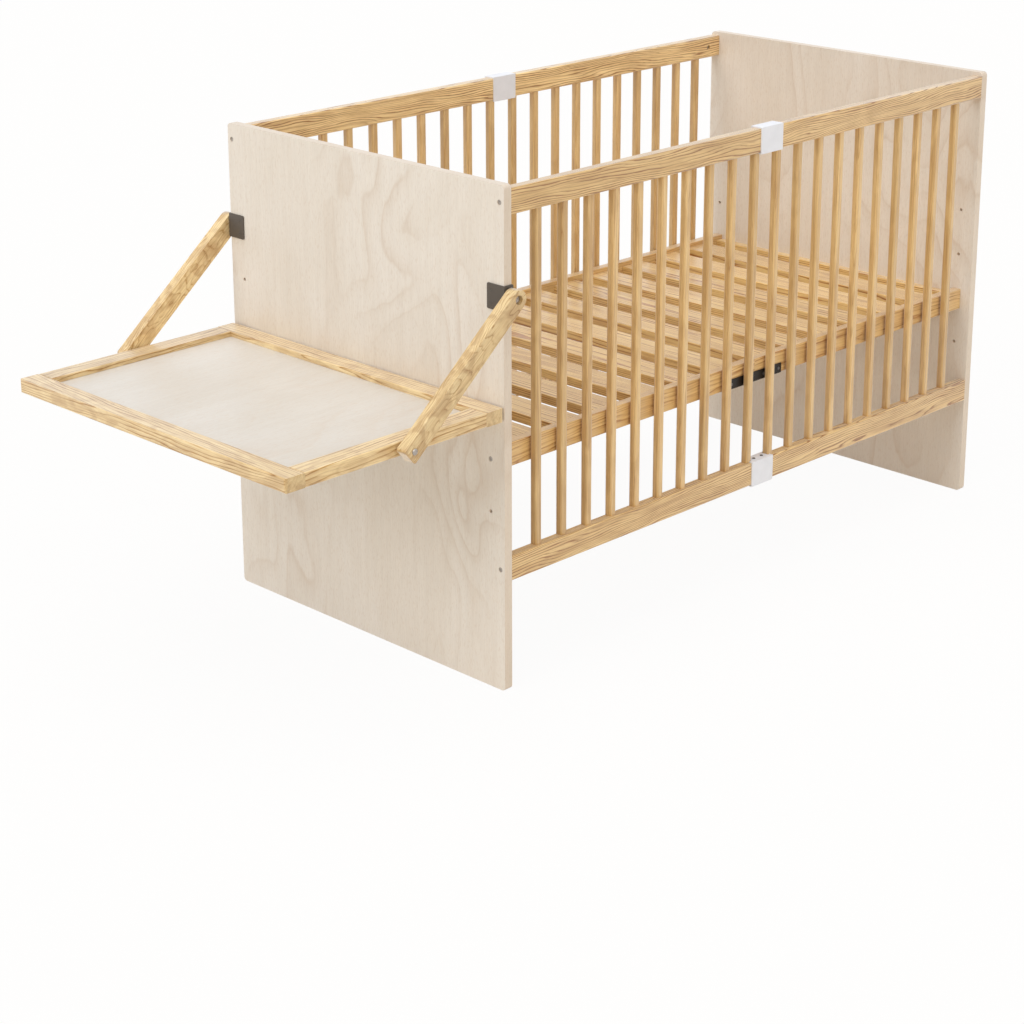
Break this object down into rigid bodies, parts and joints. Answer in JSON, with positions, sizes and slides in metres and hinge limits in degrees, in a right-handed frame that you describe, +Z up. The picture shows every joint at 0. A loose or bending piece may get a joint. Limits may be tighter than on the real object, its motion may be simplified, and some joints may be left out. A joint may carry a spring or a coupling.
{
  "type": "crib with attached changer",
  "caption": "Cot bed with slatted sides between two solid end panels, a height-adjustable slatted base, and a changing board on swing arms at one end.",
  "frame": {"origin": "middle of the footprint at floor level, with the changing board at its outer position", "axes": "+X along the crib from the changer end to the far end, +Y from the front side to the back side, +Z up"},
  "size_m": [1.951, 0.8058, 0.942],
  "materials": {
    "birch_plywood": "clear matt lacquer on rotary-cut birch plywood",
    "oak": "oiled solid wood with bold grain",
    "beech": "oiled solid wood with fine grain",
    "pale_oak": "oiled pale solid wood",
    "white_steel": "white powder coat",
    "black_steel": "black powder coat, satin",
    "bolt_steel": "zinc-plated, satin",
    "screw_steel": "zinc-plated"
  },
  "bodies": {
    "crib_frame": {"near_end_panel": "birch_plywood", "far_end_panel": "birch_plywood", "front_top_rail_near": "oak", "front_top_rail_far": "oak", "front_bottom_rail_near": "oak", "front_bottom_rail_far": "oak", "back_top_rail_near": "oak", "back_top_rail_far": "oak", "back_bottom_rail_near": "oak", "back_bottom_rail_far": "oak", "front_slats_near": "beech", "front_slats_far": "beech", "back_slats_near": "beech", "back_slats_far": "beech", "front_top_sleeve": "white_steel", "front_bottom_sleeve": "white_steel", "back_top_sleeve": "white_steel", "back_bottom_sleeve": "white_steel", "sleeve_screws": "screw_steel", "base_rail_front_near": "pale_oak", "base_rail_front_far": "pale_oak", "base_rail_back_near": "pale_oak", "base_rail_back_far": "pale_oak", "base_end_rail_near": "pale_oak", "base_end_rail_far": "pale_oak", "base_slats_near": "pale_oak", "base_slats_far": "pale_oak", "base_dowels": "beech", "base_plate_front": "black_steel", "base_plate_back": "black_steel", "base_plate_screws": "screw_steel", "top_rail_bolts": "bolt_steel", "bottom_rail_bolts": "bolt_steel", "base_bolts": "bolt_steel", "top_rail_nuts": "bolt_steel", "bottom_rail_nuts": "bolt_steel", "base_nuts": "bolt_steel", "bracket_front": "black_steel", "bracket_back": "black_steel", "bracket_screws": "black_steel", "panel_inserts": "screw_steel", "upper_pivot_bolts": "bolt_steel", "upper_washers": "screw_steel"},
    "changer_arms": {"arm_front": "pale_oak", "arm_back": "pale_oak"},
    "changer_board": {"board_outer_member": "pale_oak", "board_inner_member": "pale_oak", "board_front_member": "pale_oak", "board_back_member": "pale_oak", "board_tray_panel": "birch_plywood", "board_dowels": "beech", "board_inserts": "screw_steel", "lower_pivot_bolts": "bolt_steel", "lower_spacers": "screw_steel"}
  },
  "joints": [
    {"name": "changer_swing", "type": "hinge", "parent": "crib_frame", "child": "changer_arms", "pos_m": [-0.4675, 0, 0.74315], "axis": [0, 1, 0], "range_deg": [0, 180]},
    {"name": "board_level", "type": "hinge", "parent": "changer_arms", "child": "changer_board", "pos_m": [-0.7175, 0, 0.531], "axis": [0, 1, 0], "range_deg": [-180, 0]}
  ],
  "couplings": [
    {"joint": "board_level", "follows": "changer_swing", "ratio": -1}
  ]
}
